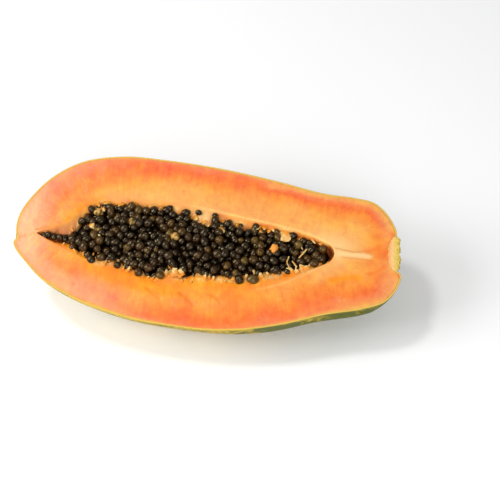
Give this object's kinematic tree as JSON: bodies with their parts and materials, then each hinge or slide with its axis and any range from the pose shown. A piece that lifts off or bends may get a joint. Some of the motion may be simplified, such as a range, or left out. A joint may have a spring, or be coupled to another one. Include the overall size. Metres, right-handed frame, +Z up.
{
  "type": "halved papaya",
  "caption": "Ripe papaya half cut lengthwise, lying on its skin with the cut face tipped forward, orange flesh round a hollow full of dark seeds.",
  "frame": {"origin": "middle of the ground that the half covers, at the height of its flat resting spot", "axes": "+X along the fruit from the blossom end to the stem end, +Y towards the raised far edge of the cut face, which leans towards -Y, +Z up"},
  "size_m": [0.2648, 0.1198, 0.0747],
  "materials": {
    "flesh": "moist ripe flesh, salmon under the skin and orange towards the hollow",
    "skin": "waxy green skin mottled with yellow, with small darker spots",
    "seeds": "wet, dark brown to black",
    "stalk": "dry, corky, pale yellow-green"
  },
  "bodies": {
    "root": {"fruit_half": "flesh", "seed_mass": "seeds", "stalk_scar": "stalk"}
  },
  "joints": []
}
